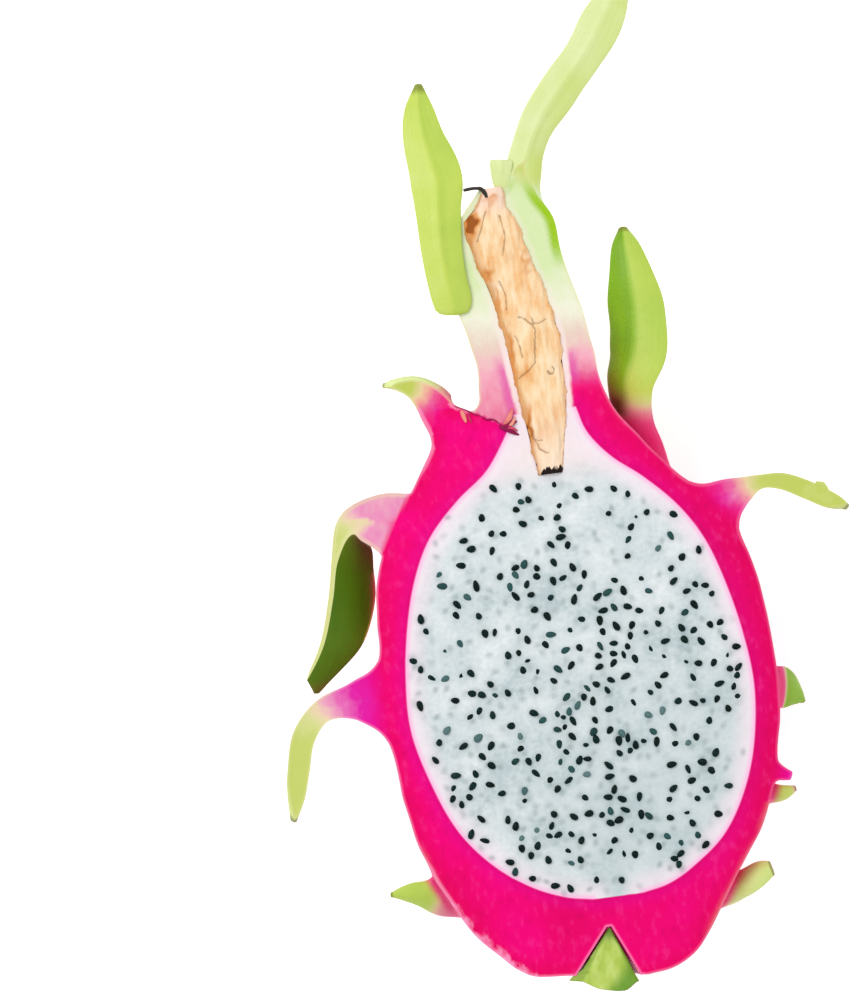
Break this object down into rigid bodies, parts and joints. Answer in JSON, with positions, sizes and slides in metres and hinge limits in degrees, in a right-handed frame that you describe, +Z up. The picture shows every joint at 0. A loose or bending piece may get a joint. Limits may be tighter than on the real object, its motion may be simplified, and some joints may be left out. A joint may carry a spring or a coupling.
{
  "type": "dragon fruit half",
  "caption": "Dragon fruit cut lengthwise, lying on its rind with the cut face up: pink rind with leaf-like bracts, white pulp, dried flower and green stem stub.",
  "frame": {"origin": "middle of the small flat spot on the underside that the half rests on", "axes": "+Z up out of the cut face, +Y along the fruit towards the crown and the dried flower, +X to the right of the cut face seen from above"},
  "size_m": [0.1314, 0.2266, 0.042],
  "materials": {
    "rind_skin": "satin, waxy fruit skin: magenta, turning pale and then green along the bracts",
    "pulp_flesh": "moist, cool white flesh with small black seeds",
    "dried_flower_tissue": "matte, papery, tan with orange-brown stains",
    "stem_green": "satin, yellow-green cut stem"
  },
  "bodies": {
    "root": {"rind": "rind_skin", "pulp": "pulp_flesh", "dried_flower": "dried_flower_tissue", "stem_stub": "stem_green"}
  },
  "joints": []
}
